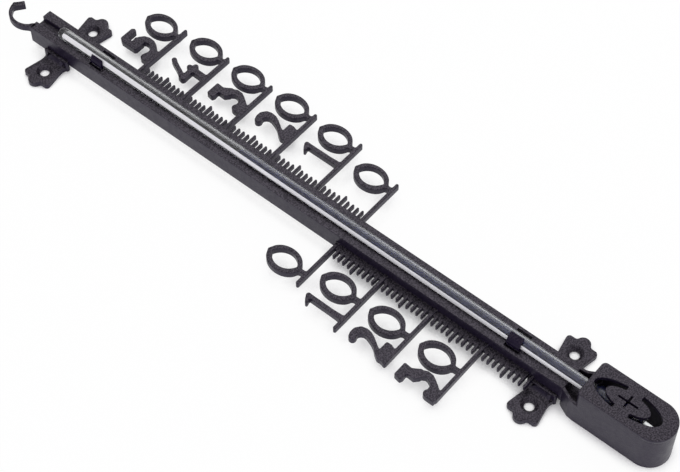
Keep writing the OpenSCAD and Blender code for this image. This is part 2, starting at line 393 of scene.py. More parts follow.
def carve(bm, cutters):
    # takes the cutters out of a shape and hands back a new bmesh
    weld(bm)
    holder = placed("carveHolder", asMesh(bm, "carveBase"))
    tools = [placed("carveTool", asMesh(cutter, "carveTool")) for cutter in cutters]
    for tool in tools:
        cut = holder.modifiers.new("cut", "BOOLEAN")
        cut.operation = "DIFFERENCE"
        cut.solver = "EXACT"
        cut.object = tool
    result = worked(holder)
    for tool in tools:
        bpy.data.objects.remove(tool, do_unlink=True)
    out = bmesh.new()
    out.from_mesh(result)
    bpy.data.meshes.remove(result)
    return out


def boxTool(x0, y0, z0, x1, y1, z1):
    bm = bmesh.new()
    bmesh.ops.create_cube(bm, size=1)
    for v in bm.verts:
        v.co = Vector((x0 + (x1 - x0) * (v.co.x + 0.5), y0 + (y1 - y0) * (v.co.y + 0.5),
                       z0 + (z1 - z0) * (v.co.z + 0.5))) * mm
    return bm


# finishes

def newMaterial(name):
    material = bpy.data.materials.new(name)
    material.use_nodes = True
    nodes = material.node_tree.nodes
    nodes.clear()
    out = nodes.new("ShaderNodeOutputMaterial")
    shader = nodes.new("ShaderNodeBsdfPrincipled")
    material.node_tree.links.new(shader.outputs[0], out.inputs[0])
    return material, nodes, material.node_tree.links, shader


def noise(nodes, links, coords, scale, detail, roughness=0.55):
    node = nodes.new("ShaderNodeTexNoise")
    node.inputs["Scale"].default_value = scale
    node.inputs["Detail"].default_value = detail
    node.inputs["Roughness"].default_value = roughness
    links.new(coords, node.inputs["Vector"])
    return node.outputs["Fac"]


def ramp(nodes, links, source, span, values):
    # from the first value to the second, over the span of the source
    node = nodes.new("ShaderNodeValToRGB")
    for element, at, value in zip(node.color_ramp.elements, span, values):
        element.position = at
        element.color = (*value, 1) if isinstance(value, tuple) else (value, value, value, 1)
    links.new(source, node.inputs["Fac"])
    return node.outputs["Color"]


def bump(nodes, links, height, strength, depth):
    node = nodes.new("ShaderNodeBump")
    node.inputs["Strength"].default_value = strength
    node.inputs["Distance"].default_value = depth
    links.new(height, node.inputs["Height"])
    return node


def combined(nodes, links, operation, first, second):
    node = nodes.new("ShaderNodeMath")
    node.operation = operation
    links.new(first, node.inputs[0])
    links.new(second, node.inputs[1])
    return node


plasticLook = {
    "dark": (0.0015, 0.001, 0.0025),
    "light": (0.05, 0.044, 0.054),
    "plain": (0.011, 0.007, 0.023),  # smooth side walls
    "plainShade": 0.8,    # their darkest share of it
    "gloss": (0.3, 0.46),
    "specular": 0.34,
    "specularTint": (0.9, 0.84, 1.0),
    "ior": 1.5,
    "grain": 2100.0,      # fine moulded grain, waves per metre
    "cloud": 420.0,       # blotches of gloss and tone
    "flow": 130.0,        # slow waviness of the moulding
    "sideGrain": 0.15,    # share of the grain on the side walls
    "grainDepth": 0.00004,
    "flowDepth": 0.00003,
    "flowStrength": 0.5,
}


def plasticMaterial(name="mouldedBlackPlastic", polish=1.0, grained=1.0, shine=1.0):
    look = plasticLook
    material, nodes, links, shader = newMaterial(name)
    place = nodes.new("ShaderNodeTexCoord")
    coords = place.outputs["Object"]
    grain = noise(nodes, links, coords, look["grain"], 2.0)
    cloud = noise(nodes, links, coords, look["cloud"], 5.0, 0.6)
    flow = noise(nodes, links, coords, look["flow"], 2.0)
    # faces that look out of the wall have the mould's grain, the side walls are smoother
    split = nodes.new("ShaderNodeSeparateXYZ")
    links.new(place.outputs["Normal"], split.inputs[0])
    facing = ramp(nodes, links, split.outputs["Z"], (0.45, 0.8), (look["sideGrain"] * grained, grained))
    rough = ramp(nodes, links, grain, (0.44, 0.57), (look["dark"], look["light"]))
    shade = tuple(look["plainShade"] * c for c in look["plain"])
    plain = ramp(nodes, links, cloud, (0.3, 0.7), (shade, look["plain"]))
    color = nodes.new("ShaderNodeMix")
    color.data_type = "RGBA"
    links.new(facing, color.inputs["Factor"])
    links.new(plain, color.inputs[6])
    links.new(rough, color.inputs[7])
    links.new(color.outputs[2], shader.inputs["Base Color"])
    gloss = [g * polish for g in look["gloss"]]
    links.new(ramp(nodes, links, cloud, (0.3, 0.72), gloss), shader.inputs["Roughness"])
    fine = bump(nodes, links, grain, grained, look["grainDepth"])
    slow = bump(nodes, links, flow, look["flowStrength"], look["flowDepth"])
    links.new(slow.outputs["Normal"], fine.inputs["Normal"])
    links.new(fine.outputs["Normal"], shader.inputs["Normal"])
    shader.inputs["IOR"].default_value = look["ior"]
    # shine below 1 dims the reflection: a painted shade for the dark surroundings a part reflects
    shader.inputs["Specular IOR Level"].default_value = look["specular"] * shine
    shader.inputs["Specular Tint"].default_value = (*look["specularTint"], 1)
    return material


# each finish of the glass goes from one tint and gloss to another

glassLook = {
    "tints": ((0.93, 0.96, 0.97), (0.99, 1.0, 1.0)),
    "gloss": (0.285, 0.3),
    "span": (0.3, 0.8),   # of the noise, from the first values to the second
    "scale": 900.0,       # streaks per metre across the stem
    "stretch": 0.06,      # and the share of them along it
    "detail": 2.0,
    "sockets": {"Transmission Weight": 1.0, "IOR": 1.47},
}
liquidLook = {
    "tints": ((0.012, 0.013, 0.052), (0.03, 0.034, 0.1)),
    "gloss": (0.06, 0.12),
    "span": (0.3, 0.75),
    "scale": 260.0,
    "detail": 2.0,
    "sockets": {"IOR": 1.36},
}
opalLook = {
    "tints": ((0.76, 0.76, 0.79), (0.86, 0.86, 0.88)),
    "gloss": (0.3, 0.42),
    "span": (0.3, 0.7),
    "scale": 900.0,
    "stretch": 0.05,
    "detail": 3.0,
    "sockets": {"Coat Weight": 1.0, "Coat Roughness": 0.03},
}


def tintedMaterial(name, look):
    material, nodes, links, shader = newMaterial(name)
    coords = nodes.new("ShaderNodeTexCoord").outputs["Object"]
    if "stretch" in look:
        turn = nodes.new("ShaderNodeMapping")
        turn.inputs["Scale"].default_value = (1.0, look["stretch"], 1.0)
        links.new(coords, turn.inputs["Vector"])
        coords = turn.outputs["Vector"]
    cloud = noise(nodes, links, coords, look["scale"], look["detail"])
    for label, values in (("Base Color", look["tints"]), ("Roughness", look["gloss"])):
        links.new(ramp(nodes, links, cloud, look["span"], values), shader.inputs[label])
    for label, value in look["sockets"].items():
        shader.inputs[label].default_value = value
    return material


plastic = plasticMaterial()
# the clips' copy: smoother gloss and fainter grain from the mould's polish, and its reflection dimmed to 0.3
# as painted shade
polishedShaded = plasticMaterial("polishedShadedPlastic", polish=0.35, grained=0.3, shine=0.3)
glass = tintedMaterial("drawnClearGlass", glassLook)
liquid = tintedMaterial("blueSpirit", liquidLook)
opal = tintedMaterial("milkGlass", opalLook)
print("finishes made")


def moulded(bm, name, node, finish=plastic):
    finished(bm, name, finish, stands=(node,))


# raised numbers and their lines

digits = {
    "thickness": 2.5,
    "line": 1.2,          # width of a ten degree line
    "long": 31.3,         # where a long line ends, from the middle
    "short": 25.8,
    "lineFrom": 3.0,      # where it starts, inside the bar
    "lineFillet": 1.3,    # where it meets the bar
    "filletIn": 0.17,     # how far inside the bar's side that fillet begins
    "sink": 0.12,         # how far the finished piece reaches in there
    "rim": 0.22,          # rounding of the edges
    "fillet": 0.55,
    "overlap": 0.25,      # softens the joins within one number
    "bolder": 0.17,       # added round the first numbers, but not round a 1
    "under": 0.3,         # how far they go below their line's middle
    "away": (60, 30),     # x and y beyond all shapes of a number, for cutters
}

nought = {
    "middle": 8.85,       # above its line
    "oval": (4.95, 6.5),  # half width and half height of its round outline
    "lens": (4.8, 6.9),   # and of the pointed one over it
    "hole": (3.35, 5.1),
    "holeX": 0.2,
    "footHalf": 0.75,
    "footHigh": 2.8,
}

# The other numbers stand on y = 0 round x = 0. A list is a line through
# (x, y, half width), and a tuple is a rounding with the corners it goes round.
numberBits = {
    1: [
        [(0, 0.2, 1.1), (0.05, 2.4, 0.92), (0, 4.5, 0.84), (0, 14.2, 0.85)],
        [(0, 14.2, 0.85), (-1.2, 13.7, 0.75), (-2.4, 13.1, 0.5)],
    ],
    2: [
        [(-1.95, 13.75, 1.15), (-0.9, 14.1, 1.15), (0.3, 14.0, 1.2), (1.4, 13.1, 1.25),
         (1.95, 11.8, 1.05), (1.85, 10.3, 0.95), (1.2, 8.6, 0.8), (0.3, 6.9, 0.62),
         (-0.5, 5.6, 0.58), (-1.5, 4.0, 0.9), (-2.3, 2.6, 1.0)],
        (0.4, [(-3.0, 0), (1.9, 0), (2.8, 2.4), (2.75, 3.7), (-0.9, 3.7), (-2.8, 2.2)]),
    ],
    3: [
        (0.4, [(-3.5, 13.0), (-2.9, 12.75), (-0.6, 12.9), (1.0, 12.6), (1.2, 14.7), (-3.2, 14.7)]),
        (0.4, [(-0.5, 12.5), (-0.6, 9.8), (0.6, 8.7), (2.4, 8.9), (2.7, 9.6), (1.8, 10.9), (0.9, 12.4)]),
        [(1.9, 8.9, 1.1), (2.75, 7.4, 1.02), (2.7, 5.9, 0.97), (1.9, 4.4, 0.95), (0.9, 3.0, 0.95),
         (-1.4, 2.8, 1.0), (-2.5, 3.1, 1.2)],
        [(-2.7, 2.6, 1.1), (-2.7, 0.2, 1.1)],
        [(0.9, 3.0, 0.95), (-0.4, 0.6, 0.7)],
        (0.3, [(-3, 0), (-0.4, 0), (0.4, 2.4), (-2.6, 2.6)]),
    ],
    4: [
        [(0.75, 14.0, 0.75), (-0.1, 12.6, 0.66), (-1.1, 10.4, 0.6), (-2.0, 8.6, 0.65),
         (-3.0, 7.1, 0.95), (-3.2, 6.3, 0.95)],
        [(-3.2, 6.2, 0.85), (0.5, 6.2, 0.8), (3.1, 6.1, 0.85)],
        [(1.7, 7.6, 0.85), (1.55, 4.5, 1.0), (1.45, 0.1, 0.95)],
    ],
    5: [
        (0.4, [(-3.2, 8.2), (-2.9, 7.9), (0.3, 7.9), (1.2, 8.8), (0.4, 10.9), (-1.9, 10.6),
               (-1.9, 13.7), (2.6, 13.8), (2.8, 14.3), (2.4, 14.8), (-2.5, 14.8), (-3.2, 13.6)]),
        [(0.8, 9.5, 1.3), (2.0, 8.6, 1.2), (2.55, 7.2, 1.1), (2.5, 5.6, 1.05), (1.7, 4.0, 1.05),
         (0.6, 2.6, 1.0), (-1.6, 2.2, 1.0), (-3.9, 2.9, 1.15)],
        [(-4.0, 2.6, 1.1), (-4.0, 0.1, 1.1)],
        (0.3, [(-4.4, 0), (0.1, 0), (0.9, 2.4), (-4.2, 2.6)]),
    ],
}

# node, side, degrees, first number, its middle, the nought's middle, the line's
# end, and how far the nought is moved up
markRows = [
    ("mark_warm_50", 1, 50, 5, 16.6, 27.2, "long", -0.5),
    ("mark_warm_40", 1, 40, 4, 17.7, 28.85, "long", -0.3),
    ("mark_warm_30", 1, 30, 3, 18.4, 28.8, "long", 0),
    ("mark_warm_20", 1, 20, 2, 19.0, 28.8, "long", 0),
    ("mark_warm_10", 1, 10, 1, 19.5, 27.85, "long", 0),
    ("mark_warm_0", 1, 0, None, 0, 22.55, "short", 0),
    ("mark_cold_0", -1, 0, None, 0, 21.07, "short", 0.3),
    ("mark_cold_10", -1, -10, 1, 26.6, 18.1, "long", 0.3),
    ("mark_cold_20", -1, -20, 2, 27.6, 18.3, "long", 0.3),
    ("mark_cold_30", -1, -30, 3, 28.4, 18.35, "long", 0.3),
]


def scaleY(degrees):
    return lay["zeroY"] + degrees * lay["degree"]


def noughtShape():
    y, half = nought["middle"], nought["footHalf"]
    outline = joined([ovalField(0, y, *nought["oval"]), lensField(0, y, *nought["lens"])])
    hole = lensField(nought["holeX"], y, *nought["hole"])
    return [cutBy(outline, [hole]), boxField(-half, 0, half, nought["footHigh"])]


def numberShape(number):
    return [polygonField(bit[1], bit[0]) if isinstance(bit, tuple) else strokeField(bit)
            for bit in numberBits[number]]


def barSide(side, x, y):
    # all that lies on the bar's side of x, round the height y
    far, tall = digits["away"]
    return polygonField([(-side * far, y - tall), (x, y - tall), (x, y + tall), (-side * far, y + tall)])


def makeMark(name, side, degrees, tens, at, zeroAt, reach, lift):
    y = scaleY(degrees)
    half = digits["line"] / 2
    wall = barSide(side, side * (lay["barX"] - digits["filletIn"]), y)
    line = strokeField([(side * digits["lineFrom"], y, half), (side * (digits[reach] - half), y, half)])
    shapes = [joined([wall, line], digits["lineFillet"])]
    shapes += [shifted(f, side * zeroAt, y + lift) for f in noughtShape()]
    if tens:
        # the bits of one number have no fillet where they only overlap
        number = shifted(joined(numberShape(tens), digits["overlap"]), side * at, y)
        number = grown(number, 0.0 if tens == 1 else digits["bolder"])
        far, tall = digits["away"]
        under = boxField(-far, y - tall, far, y - digits["under"])
        shapes.append(cutBy(number, [under]))
    keepOut = barSide(side, side * (lay["barX"] - digits["sink"]), y)
    field = cutBy(joined(shapes, digits["fillet"]), [keepOut])
    x0, x1 = sorted((side * 4.0, side * 36.0))
    low = lay["scaleZ"] - digits["thickness"] / 2
    bm = bmesh.new()
    addPlate(bm, field, (x0, y - 2.5, x1, y + 17), low, low + digits["thickness"],
             digits["rim"], digits["rim"], gap=0.32)
    moulded(bm, name.replace("mark_", "number_"), name)


for row in markRows:
    makeMark(*row)
print("numbers made")


# one degree ticks

ticks = {
    "width": 0.9,
    "thickness": 1.8,
    "short": 10.2,        # where a one degree tick ends, from the middle
    "long": 11.4,         # and a five degree tick
    "taper": 0.92,        # width at the tip, as a share
    "root": 0.4,          # how far inside the bar's side a tick starts
    "rim": 0.14,
    "rail": 7.3,          # outer side of the rail at their roots
    "railThickness": 1.6,
    "railIn": 0.12,
    "railPast": 0.4,      # how far it goes past its first and last tick
    "railCorner": 0.3,
    "railRim": 0.12,
}


def buildTickTree():
    # repeats one tick along the bar and leaves out each place that has a longer line
    tree = bpy.data.node_groups.new("tickRow", "GeometryNodeTree")
    face = tree.interface
    for label, kind in (("Tick", "Geometry"), ("Count", "Int"), ("First", "Float"), ("Pitch", "Float"),
                        ("Leave Out Every", "Int"), ("Finish", "Material")):
        face.new_socket(label, in_out="INPUT", socket_type="NodeSocket" + kind)
    face.new_socket("Row", in_out="OUTPUT", socket_type="NodeSocketGeometry")
    nodes, links = tree.nodes, tree.links
    given = nodes.new("NodeGroupInput").outputs
    line = nodes.new("GeometryNodeMeshLine")
    line.mode = "OFFSET"
    links.new(given["Count"], line.inputs["Count"])
    for label, socket in (("First", "Start Location"), ("Pitch", "Offset")):
        along = nodes.new("ShaderNodeCombineXYZ")
        links.new(given[label], along.inputs["Y"])
        links.new(along.outputs[0], line.inputs[socket])
    index = nodes.new("GeometryNodeInputIndex").outputs[0]
    rest = combined(nodes, links, "MODULO", index, given["Leave Out Every"])
    isFirst = nodes.new("FunctionNodeCompare")
    isFirst.data_type = "FLOAT"
    isFirst.operation = "LESS_THAN"
    isFirst.inputs[1].default_value = 0.5
    links.new(rest.outputs[0], isFirst.inputs[0])
    drop = nodes.new("GeometryNodeDeleteGeometry")
    drop.domain = "POINT"
    links.new(isFirst.outputs[0], drop.inputs["Selection"])
    place = nodes.new("GeometryNodeInstanceOnPoints")
    links.new(given["Tick"], place.inputs["Instance"])
    finish = nodes.new("GeometryNodeSetMaterial")
    links.new(given["Finish"], finish.inputs["Material"])
    # the points go through all of these in turn
    chain = [line, drop, place, nodes.new("GeometryNodeRealizeInstances"), finish,
             nodes.new("NodeGroupOutput")]
    for one, other in zip(chain, chain[1:]):
        links.new(one.outputs[0], other.inputs[0])
    return tree


tickTree = buildTickTree()


def tickRow(bm, side, reach, first, pitch, count, leaveOut):
    # one tick at y = 0, repeated along the bar
    half = ticks["width"] / 2
    field = strokeField([(side * (lay["barX"] - ticks["root"]), 0, half),
                         (side * (reach - half), 0, half * ticks["taper"])])
    x0, x1 = sorted((side * (lay["barX"] - 1.5), side * (reach + 1)))
    low = lay["scaleZ"] - ticks["thickness"] / 2
    tick = bmesh.new()
    addPlate(tick, field, (x0, -1, x1, 1), low, low + ticks["thickness"], ticks["rim"], ticks["rim"],
             step=0.08, gap=0.22)
    holder = placed("tickHolder", asMesh(tick, "tick"))
    row = holder.modifiers.new("row", "NODES")
    row.node_group = tickTree
    values = {"Count": count, "First": first * mm, "Pitch": pitch * mm, "Leave Out Every": leaveOut,
              "Finish": plastic}
    for item in tickTree.interface.items_tree:
        if item.item_type == "SOCKET" and item.in_out == "INPUT" and item.name in values:
            row[item.identifier] = values[item.name]
    made = worked(holder)
    bm.from_mesh(made)
    bpy.data.meshes.remove(made)


def makeComb(name, side, lowTemp, highTemp):
    bm = bmesh.new()
    # one degree ticks leave out every fifth, and five degree ticks every tenth
    base = lowTemp - lowTemp % 5
    tickRow(bm, side, ticks["short"], scaleY(base), lay["degree"], highTemp - base, 5)
    tens = lowTemp - lowTemp % 10
    tickRow(bm, side, ticks["long"], scaleY(tens), 5 * lay["degree"], (highTemp - tens) // 5, 2)
    low = lay["scaleZ"] - ticks["thickness"] / 2
    x0, x1 = sorted((side * (lay["barX"] - ticks["railIn"]), side * ticks["rail"]))
    y0, y1 = scaleY(lowTemp), scaleY(highTemp)
    rail = boxField(x0, y0 - ticks["railPast"], x1, y1 + ticks["railPast"], ticks["railCorner"])
    addPlate(bm, rail, (x0 - 1, y0 - 1.5, x1 + 1, y1 + 1.5), low, low + ticks["railThickness"],
             ticks["railRim"], ticks["railRim"], step=0.2, gap=0.5)
    moulded(bm, name.replace("_comb", "s"), name)


makeComb("warm_tick_comb", 1, 0, 50)
makeComb("cold_tick_comb", -1, -38, 0)
print("ticks made")


# screw lugs

lug = {
    "holeX": 12.0,
    "holeY": 105.0,
    "hole": 1.7,
    "thickness": 2.0,
    "rimLow": 0.12,
    "rimHigh": 0.22,
    "dish": 2.9,          # radius of the countersink
    "dishDepth": 1.1,
    "lobe": 2.45,
    "lobeAt": 4.5,        # the lobe's middle, from the hole
    "lobeFillet": 0.9,
    "sink": 0.1,          # how far it reaches inside the bar's side
    "plateHalf": 4.9,     # half the plate's width there
    # its other corners on one side, from the hole
    "corners": [(-4.4, 4.0), (-2.7, 4.1), (3.2, 5.25), (3.75, 5.25), (4.2, 4.75)],
    "cornerRound": 0.45,
    "rootHalf": 5.5,
    "rootWide": 1.4,
    "rootHigh": 4.5,
    "rootRim": 0.45,
    "filletWide": 3.0,
    "filletRise": 0.85,   # how high the fillet starts up the root, as a share
    "filletBend": 2.2,
}


def makeLug(name, node, side, end):
    cx, cy = side * lug["holeX"], end * lug["holeY"]
    root = lay["barX"] - lug["holeX"] - lug["sink"]
    half = [(root, lug["plateHalf"])] + lug["corners"]
    plate = polygonField([(x, -y) for x, y in half] + half[::-1], lug["cornerRound"])
    lobe = ovalField(lug["lobeAt"], 0, lug["lobe"], lug["lobe"])
    outline = cutBy(joined([plate, lobe], lug["lobeFillet"]), [boxField(root - 4, -9, root, 9)])

    def field(x, y):
        return outline((x - cx) * side, y - cy)

    r, d, top = lug["hole"], lug["dish"], lug["thickness"]
    dishLow = top - lug["dishDepth"]
    well = (cx, cy, [(r + 0.12, 0), (r, 0.12), (r, dishLow), (r + 0.1, dishLow + 0.1),
                     (d - 0.15, top - 0.1), (d + 0.08, top)])
    bm = bmesh.new()
    addPlate(bm, field, (cx - 9, cy - 7, cx + 9, cy + 7), 0, top, lug["rimLow"], lug["rimHigh"],
             wells=[well], gap=0.28)

    def pad(reach, half, rounding):
        x0, x1 = sorted((side * (lay["barX"] - lug["sink"]), side * (lay["barX"] + reach)))
        y0, y1 = cy - half, cy + half
        return boxField(x0, y0, x1, y1, rounding), (x0 - 1, y0 - 1, x1 + 1, y1 + 1)

    # thick root against the bar's side, then a fillet down to the plate
    addPlate(bm, *pad(lug["rootWide"], lug["rootHalf"], 0.6), 0.05, lug["rootHigh"], 0.1, lug["rootRim"],
             gap=0.25)
    run = lug["filletWide"] - lug["rootWide"]
    rise = lug["filletRise"] * (lug["rootHigh"] - top)
    steps = [(0.0, top - 0.4)]
    steps += [(t * run, top + rise * t ** lug["filletBend"]) for t in (0.0, 0.25, 0.5, 0.7, 0.85, 1.0)]
    addPlate(bm, *pad(lug["filletWide"], lug["rootHalf"] - 1.0, 0.5), steps=steps, gap=0.3)
    moulded(bm, name, node)


for height, end in (("upper", 1), ("lower", -1)):
    for hand, side in (("Left", -1), ("Right", 1)):
        makeLug(height + hand + "Lug", "lug_" + height + "_" + hand.lower(), side, end)
print("lugs made")


# grooved bar

bar = {
    "low": 2.3,
    "side": 1.0,          # thickness of the side walls
    "plate": 1.2,
    "corner": 0.15,       # rounding of the long edges
    "groove": 1.957,      # half the groove's width under the stem
    "grooveFloor": 7.5,
    "bevel": 0.4,         # how far its upper edges are cut back
    "endGroove": 1.5,     # half its width beyond the stem
    "endCorner": 0.25,
    "endSolid": 1.5,
    "rim": 0.15,
    "stations": (87.5, -91.0),  # middles of the two clips
    "clipLength": 5.0,
    "window": 5.6,
}


def makeBar():
    x, low, top = lay["barX"], bar["low"], lay["barTop"]
    inner = x - bar["side"]
    g, deep, past = bar["groove"], bar["grooveFloor"], bar["groove"] + bar["bevel"]
    shelf = g + 1
    y0, y1 = lay["barLow"], lay["barHigh"]
    groove = boxField(-bar["endGroove"], deep, bar["endGroove"], top + 5, bar["endCorner"])
    section = cutBy(boxField(-x, low, x, top, bar["corner"]), [groove], 0.3)
    bm = bmesh.new()
    addPlate(bm, section, (-x - 1, low - 1, x + 1, top + 1), y0, y1, 0, bar["rim"], place=upright,
             step=0.1, gap=0.25)
    half = [(g, deep), (g, top - 0.15), (past, top + 0.25), (past, top + 2)]
    profile = polygonField(half + [(-u, v) for u, v in half[::-1]])
    wide = bmesh.new()
    addPlate(wide, profile, (-4, deep - 1, 4, top + 3), y0 - 2, lay["stemHigh"] + 1, place=upright,
             step=0.1, gap=0.25)
    # the hollow under the groove and beside it, then the windows at the clips
    near, far = y0 + bar["side"], y1 - bar["endSolid"]
    cutters = [wide]
    for left, right, roof in ((-inner, inner, deep), (-inner, -shelf, top), (shelf, inner, top)):
        cutters.append(boxTool(left, near, low - 1, right, far, roof - bar["plate"]))
    half = bar["window"] / 2
    for y in bar["stations"]:
        for left, right in ((-inner, -g + 0.1), (g - 0.1, inner)):
            cutters.append(boxTool(left, y - half, deep, right, y + half, top + 1))
    moulded(carve(bm, cutters), "groovedBar", "channel_bar")


makeBar()


# hanging hook

hook = {
    "radius": 7.3,
    "width": 1.2,
    "thickness": 2.4,
    "middleX": 0.25,
    "middleUp": 0.75,     # its middle above the bar's end, as a share of the radius
    "from": 236.0,        # degrees, on the bar's end
    "to": 97.0,           # where the straight lip starts
    "bends": 28,
    "rim": 0.14,
    "fillet": 0.5,
    # the lip is a straight flat strip
    "lip": [(-0.55, 130.55), (-1.55, 129.25), (1.45, 127.0), (2.3, 128.3)],
    # the root's heights are from the bar's end
    "root": [(-4.75, -0.6), (-2.6, -0.6), (-3.6, 0.5), (-4.9, 0.8)],
}


def makeHook():
    cx, cy = hook["middleX"], lay["barHigh"] + hook["middleUp"] * hook["radius"]
    half = hook["width"] / 2
    mid = hook["radius"] - half
    points = []
    for i in range(hook["bends"] + 1):
        t = math.radians(hook["from"] + (hook["to"] - hook["from"]) * i / hook["bends"])
        points.append((cx + mid * math.cos(t), cy + mid * math.sin(t), half))
    root = polygonField([(x, lay["barHigh"] + up) for x, up in hook["root"]], 0.25)
    field = joined([strokeField(points), polygonField(hook["lip"], 0.2), root], hook["fillet"])
    bm = bmesh.new()
    top = lay["barTop"]
    addPlate(bm, field, (-9, 116, 6, 133), top - hook["thickness"], top, hook["rim"], hook["rim"],
             gap=0.3, step=0.1)
    moulded(bm, "hangingHook", "hanging_hook")


makeHook()


# stem clips

clip = {
    "wall": 1.0,
    "bore": 2.13,
    "highReach": -1.9,    # where the upper finger stops, left of the stem's middle
    "lowReach": -0.35,    # and the lower one
    "sink": 0.02,         # how far they stand in the groove's floor
    "rim": 0.14,
}


def makeClip(name, node, y, reach):
    bore, outer = clip["bore"], clip["bore"] + clip["wall"]
    axis, deep = lay["stemZ"], bar["grooveFloor"]
    floor = deep - clip["sink"]
    ring = cutBy(ovalField(0, axis, outer, outer),
                 [boxField(reach, axis - 9, 20, axis + 9), boxField(-9, deep - 9, 9, floor)])
    foot = boxField(-bore - 0.6, floor, bar["groove"] - 0.05, (deep + axis) / 2, 0.1)
    field = cutBy(joined([ring, foot], 0.2), [ovalField(0, axis, bore, bore)], 0.1)
    half = bar["clipLength"] / 2
    bm = bmesh.new()
    addPlate(bm, field, (-5, 4, 5, 15), y - half, y + half, clip["rim"], clip["rim"], place=upright,
             step=0.07, gap=0.2)
    moulded(bm, name, node, polishedShaded)


makeClip("upperClip", "clip_upper", bar["stations"][0], clip["highReach"])
makeClip("lowerClip", "clip_lower", bar["stations"][1], clip["lowReach"])


# neck between the bar and the bulb housing

neck = {
    "wall": 1.0,
    # outer sides of its walls, as they widen towards the housing
    "left": [(5.0, -111.5), (5.9, -113.2), (7.0, -115.5), (7.28, -117.4), (7.29, -119.3)],
    "right": [(5.0, -111.5), (5.0, -113.0), (5.35, -114.2), (6.5, -116.1), (7.2, -117.6), (7.29, -119.3)],
    "start": -110.9,
    "cut": -111.45,       # where the walls are cut off at the bar
    "floor": 1.2,
    "floorTop": 5.1,
    "web": [(-5.0, -111.4), (-6.6, -117.5), (6.6, -117.5), (5.0, -111.4)],
}


def makeNeck():
    bm = bmesh.new()
    half = neck["wall"] / 2
    for side, bend in ((-1, neck["left"]), (1, neck["right"])):
        points = [(side * (bend[0][0] - half), neck["start"], half)]
        points += [(side * (x - half), y, half) for x, y in bend]
        field = cutBy(strokeField(points), [boxField(-20, neck["cut"], 20, -90)])
        x0, x1 = sorted((side * 3.0, side * 9.0))
        addPlate(bm, field, (x0, -121, x1, -110), 0, lay["barTop"], 0.1, 0.16, step=0.08, gap=0.25)
    addPlate(bm, polygonField(neck["web"]), (-9, -119, 9, -110), neck["floorTop"] - neck["floor"],
             neck["floorTop"], gap=0.6)
    moulded(bm, "neckShoulder", "neck_shoulder")


makeNeck()
print("bar, hook, clips and neck made")


# bulb housing and its vented cover

house = {
    "halfWidth": 7.3,
    "height": 16.2,
    "wall": 1.2,
    "cover": 1.4,
    "corner": 1.6,
    "box": (-9, -149, 9, -116),  # it lies within
    "gate": 3.3,          # radius of the opening for the bulb
    "ventY": -131.0,      # middle of the slots
    "slotOuter": (4.6, 12.0),   # half sizes of the ovals that bound the curved slots
    "slotInner": (3.2, 7.8),
    "bridge": 2.7,        # half the bridge between the two slots
    "cross": (2.4, 3.6),  # half sizes of the cross
    "crossHalf": 0.35,    # half the width of its bars
    "seam": 0.07,         # depth of the line under the cover
    "rim": 0.22,
}


def houseOutline(x, y):
    w = house["halfWidth"]
    low = lay["houseLow"] + w
    # the box only counts above the round end's middle
    body = boxField(-w, low - 5, w, lay["houseHigh"], house["corner"])
    return np.where(y > low, body(x, y), ovalField(0, low, w, w)(x, y))


def houseWall(x, y):
    outline = houseOutline(x, y)
    return np.maximum(outline, -(outline + house["wall"]))


def makeHouse():
    top = house["height"] - house["cover"]
    bm = bmesh.new()
    addPlate(bm, houseWall, house["box"], 0, top, 0.2, house["seam"], gap=0.45)
    gate = bmesh.new()
    g, end = house["gate"], lay["houseHigh"]
    arch = joined([ovalField(0, lay["stemZ"], g, g), boxField(-g, neck["floorTop"], g, lay["stemZ"])])
    addPlate(gate, arch, (-5, 4, 5, 15), end - house["wall"] - 1.5, end + 1, place=upright, step=0.1, gap=0.4)
    moulded(carve(bm, [gate]), "bulbHousing", "bulb_housing")


def makeCover():
    # with its two curved slots and the cross
    top = house["height"] - house["cover"]
    cy = house["ventY"]
    bridge = boxField(-10, cy - house["bridge"], 10, cy + house["bridge"])
    slots = cutBy(ovalField(0, cy, *house["slotOuter"]), [ovalField(0, cy, *house["slotInner"]), bridge], 0.3)
    half, (crossX, crossY) = house["crossHalf"], house["cross"]
    cross = joined([boxField(-half, cy - crossY, half, cy + crossY, 0.15),
                    boxField(-crossX, cy - half, crossX, cy + half, 0.15)], 0.25)
    bm = bmesh.new()
    addPlate(bm, cutBy(houseOutline, [slots, cross]), house["box"], top, house["height"], house["seam"],
             house["rim"], rimHole=0.1, step=0.1)
    moulded(bm, "ventedCover", "vented_cover")


makeHouse()
makeCover()
print("housing made")


# glass and liquid

stem = {
    "radius": 2.1,
    "low": -119.38,
    "ring": 2.0,          # length of one mesh ring
    "turns": 64,
    "bore": 1.45,
    "boreHigh": 105.7,
    "thread": 1.456,      # it wets the bore, so it is drawn a hair wider
    "threadRings": 60,
    "threadTurns": 24,
    "tipTop": 24.0,
    "tipLength": 8.0,
    # y, and where the milk glass starts and ends there, in degrees left of the top; from y = 10 up its start
    # comes nearer the top, drawing the strip wider as painted refraction of it through the empty bore
    "backing": [(-117.2, 58, 112), (-116.9, 58, 112), (-100, 56, 112), (-65, 52.5, 108), (-45, 50.5, 101),
                (-20, 48, 92.5), (10, 43.5, 88), (40, 35, 84.5), (70, 28, 81), (95, 25, 78), (103.4, 25, 78),
                (104.3, 28, 76), (104.8, 34, 70)],
    "backingOut": 0.018,  # how far it stands out of the glass
    "backingIn": 0.12,    # and how deep it goes
    "backingEdge": 0.05,  # how much lower its edges are
    "backingSteps": 16,
}
bulb = {
    "radius": 3.0,
    "high": -121.5,
    "low": -134.5,
    "wall": 0.35,
    "nib": 1.1,
    "nibEnd": -141.6,
    "nibTaper": 0.9,      # its width at the end, as a share
}


def roundEnd(r, y, toward, steps=8):
    # quarter circle from radius r down to the axis
    out = []
    for i in range(1, steps + 1):
        t = math.pi / 2 * i / steps
        out.append((r * math.cos(t) if i < steps else 0.0, y + toward * r * math.sin(t)))
    return out


